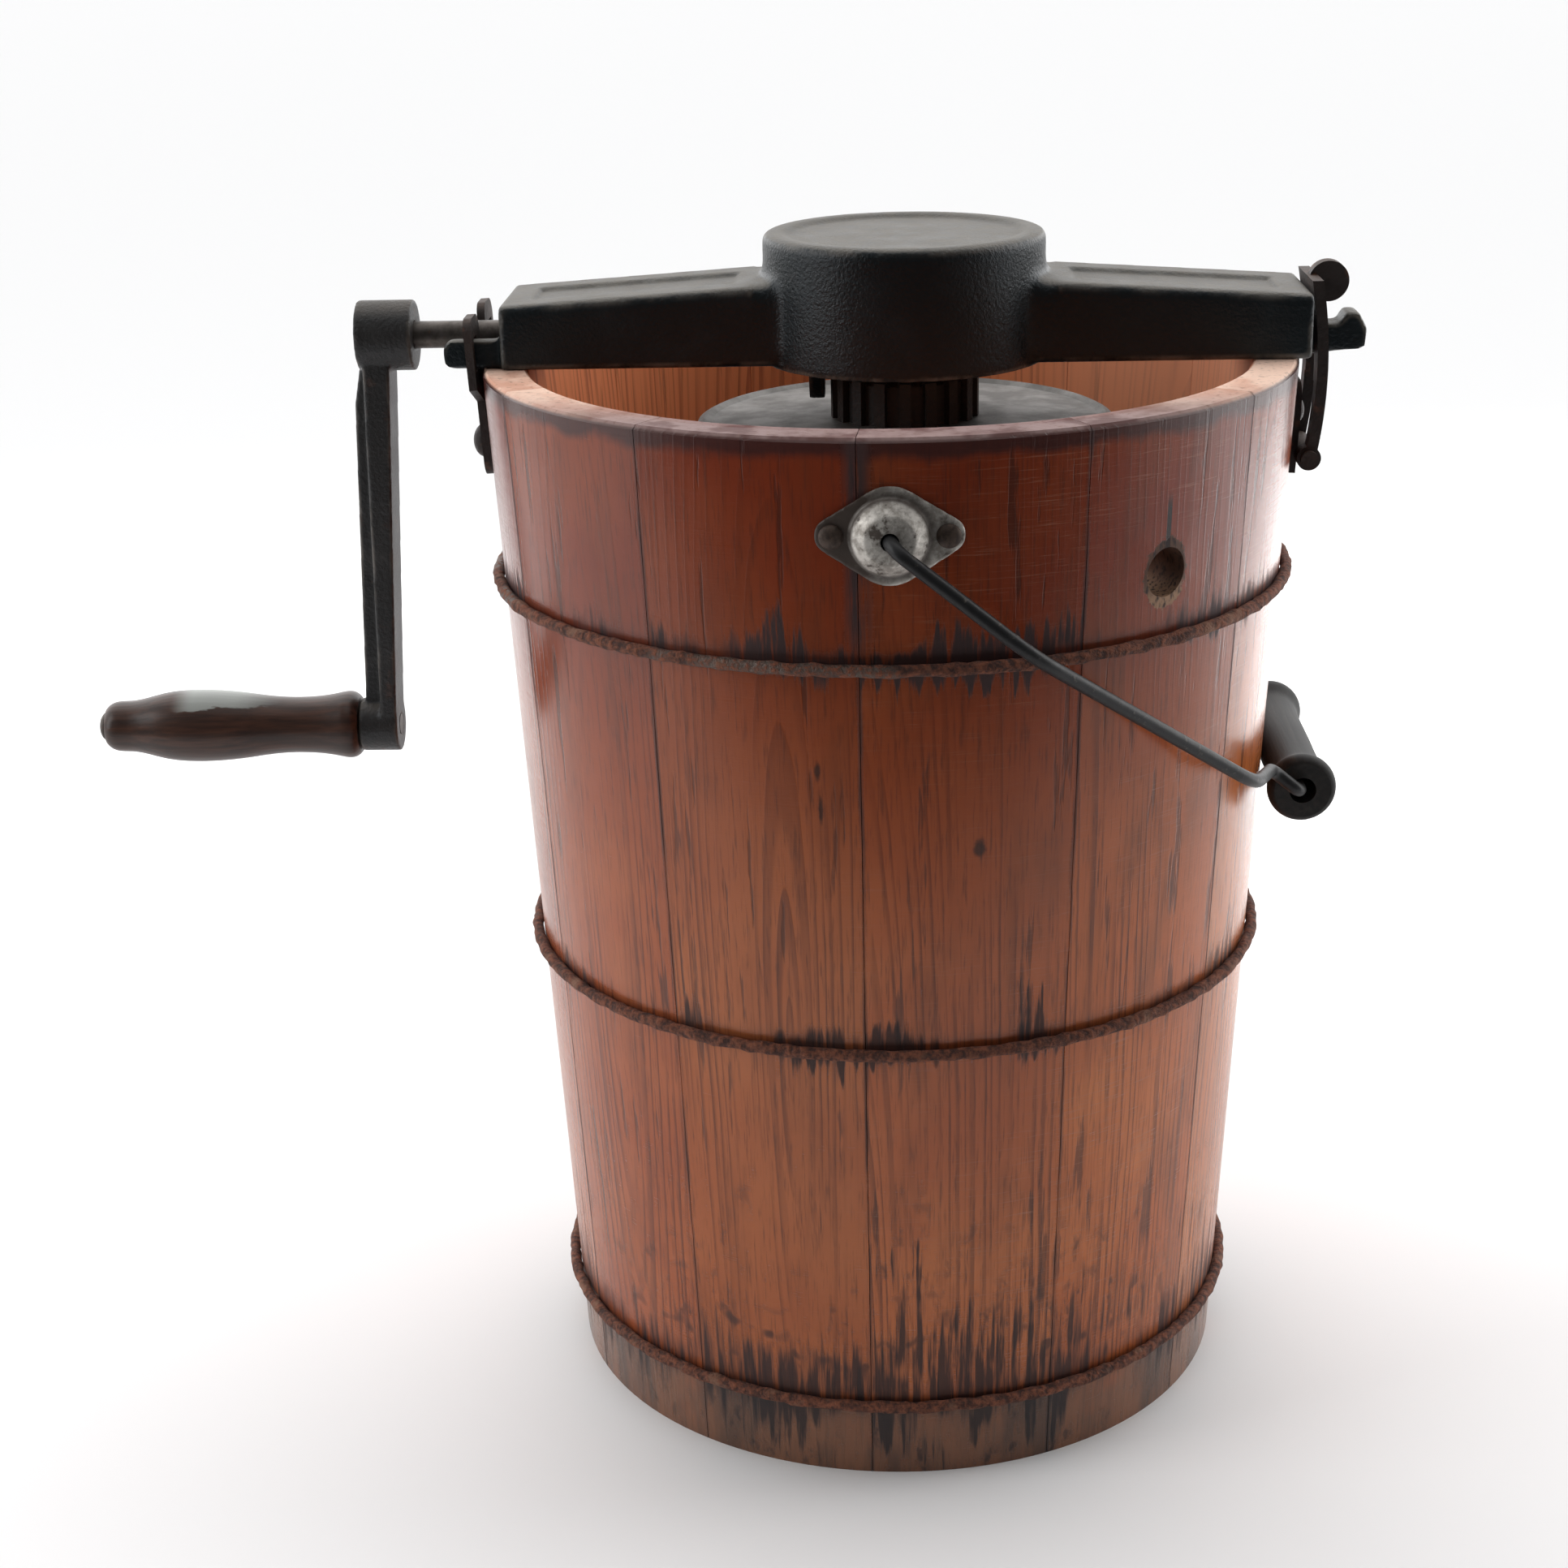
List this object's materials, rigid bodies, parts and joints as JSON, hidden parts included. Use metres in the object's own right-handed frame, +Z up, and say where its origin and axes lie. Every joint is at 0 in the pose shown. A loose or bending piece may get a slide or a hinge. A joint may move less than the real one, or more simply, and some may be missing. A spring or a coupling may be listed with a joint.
{
  "type": "hand-crank ice cream maker",
  "caption": "Hand-cranked ice cream maker: a hooped wooden stave tub, a can geared under a cast-iron frame latched across the rim, a side crank and a wire bail.",
  "frame": {"origin": "centre of the tub's base, on the floor", "axes": "+Z up; +X toward the latch, with the crank at -X; -Y toward the front bail ear"},
  "size_m": [0.4943, 0.3356, 0.4507],
  "materials": {
    "stave_wood": "worn satin varnish over reddish-brown wood",
    "board_wood": "bare, stained",
    "hoop_wire": "rusted drawn wire",
    "frame_iron": "black, sand-cast texture",
    "ear_tin": "dull tin plate with rust",
    "screw_steel": "worn, rust-flecked",
    "strap_iron": "rusted forged iron",
    "can_tin": "dull tin plate",
    "gear_iron": "dull cast",
    "dasher_iron": "tinned casting",
    "scraper_wood": "bare maple-like wood",
    "shaft_steel": "worn turned steel",
    "crank_iron": "dark cast, rough rib",
    "handle_wood": "dark turned wood, worn",
    "bail_steel": "black wire",
    "grip_wood": "blackened turned wood"
  },
  "bodies": {
    "tub": {"stave_01": "stave_wood", "stave_02": "stave_wood", "stave_03": "stave_wood", "stave_04": "stave_wood", "stave_05": "stave_wood", "stave_06": "stave_wood", "stave_07": "stave_wood", "stave_08": "stave_wood", "stave_09": "stave_wood", "stave_10": "stave_wood", "stave_11": "stave_wood", "stave_12": "stave_wood", "tub_bottom": "board_wood", "top_hoop": "hoop_wire", "middle_hoop": "hoop_wire", "bottom_hoop": "hoop_wire", "pivot_socket": "frame_iron", "socket_screws": "screw_steel", "front_bail_ear": "ear_tin", "rear_bail_ear": "ear_tin", "front_ear_screws": "screw_steel", "rear_ear_screws": "screw_steel", "gear_frame": "frame_iron", "hinge_strap": "strap_iron", "hinge_screw": "screw_steel", "latch_bracket": "strap_iron", "latch_screw": "screw_steel", "latch_pin": "strap_iron"},
    "can": {"can_body": "can_tin", "can_pivot": "can_tin", "can_lid": "can_tin", "lid_gear": "gear_iron"},
    "dasher": {"dasher": "dasher_iron", "left_scraper": "scraper_wood", "right_scraper": "scraper_wood", "dasher_gear": "gear_iron"},
    "crank": {"crank_shaft": "shaft_steel", "pinion": "gear_iron", "crank_arm": "crank_iron", "handle_spindle": "shaft_steel"},
    "handle": {"crank_handle": "handle_wood"},
    "bail": {"bail_wire": "bail_steel"},
    "grip": {"bail_grip": "grip_wood"},
    "latch": {"latch_loop": "strap_iron"}
  },
  "joints": [
    {"name": "can_spin", "type": "hinge", "parent": "tub", "child": "can", "pos_m": [0.0061, 0, 0.2], "axis": [0, 0, 1], "continuous": true},
    {"name": "dasher_spin", "type": "hinge", "parent": "tub", "child": "dasher", "pos_m": [0.0061, 0, 0.2], "axis": [0, 0, 1], "continuous": true},
    {"name": "crank_spin", "type": "hinge", "parent": "tub", "child": "crank", "pos_m": [-0.19, 0, 0.4142], "axis": [1, 0, 0], "continuous": true},
    {"name": "handle_spin", "type": "hinge", "parent": "crank", "child": "handle", "pos_m": [-0.262, 0, 0.2592], "axis": [1, 0, 0], "continuous": true},
    {"name": "bail_swing", "type": "hinge", "parent": "tub", "child": "bail", "pos_m": [0, 0, 0.3723], "axis": [0, -1, 0], "range_deg": [0, 180]},
    {"name": "grip_roll", "type": "hinge", "parent": "bail", "child": "grip", "pos_m": [0.15496, 0, 0.24586], "axis": [0, 1, 0], "continuous": true},
    {"name": "latch_swing", "type": "hinge", "parent": "tub", "child": "latch", "pos_m": [0.15659, 0, 0.366], "axis": [0, 1, 0], "range_deg": [0, 120]}
  ],
  "couplings": [
    {"joint": "dasher_spin", "follows": "can_spin", "ratio": -1},
    {"joint": "crank_spin", "follows": "can_spin", "ratio": -1.8}
  ]
}
